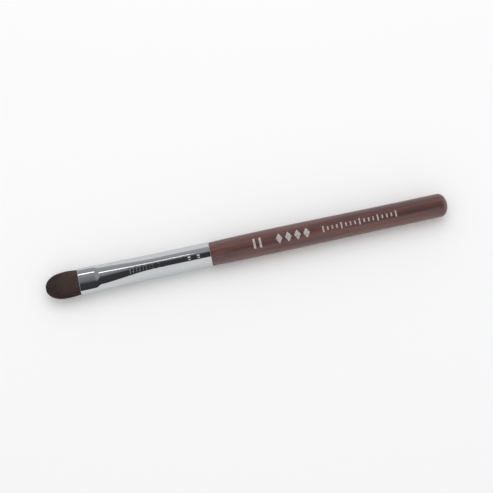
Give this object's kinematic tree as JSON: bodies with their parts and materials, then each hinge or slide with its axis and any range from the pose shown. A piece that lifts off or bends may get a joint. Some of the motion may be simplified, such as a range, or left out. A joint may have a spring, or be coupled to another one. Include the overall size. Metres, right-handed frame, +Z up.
{
  "type": "fine detail brush",
  "caption": "Short-handled oval-tipped hair brush: flat chrome ferrule crimped from round to oval, lacquered wood handle with a domed end, springy hair tuft.",
  "frame": {"origin": "under the middle of the brush as it lies on a table: the middle of the length, on the plane of symmetry, at the table's height", "axes": "+X along the brush from the hair tip to the handle's end; +Z up, through the flattened side of the ferrule; +Y across, the wide way of the oval hair"},
  "size_m": [0.15, 0.0099, 0.0092],
  "materials": {
    "lacquered_wood": "clear gloss lacquer over red-brown stained wood",
    "ferrule_plating": "bright plated",
    "hair": "natural dark brown hair, slightly glossy",
    "binding_thread": "matte cotton",
    "resin": "set amber resin",
    "glue": "set pale glue",
    "foil": "hot-stamped silver foil"
  },
  "bodies": {
    "brush": {"handle": "lacquered_wood", "ferrule": "ferrule_plating", "hair_roots": "hair", "root_binding_thread": "binding_thread", "epoxy_plug": "resin", "tenon_glue": "glue", "foil_marks": "foil"},
    "tuft": {"hair_tuft": "hair"}
  },
  "joints": [
    {"name": "tuft_flex", "type": "hinge", "parent": "brush", "child": "tuft", "pos_m": [-0.06465, 0, 0.0046], "axis": [0, 1, 0], "range_deg": [-22, 22], "stiffness_Nm_per_rad": 0.0025}
  ]
}
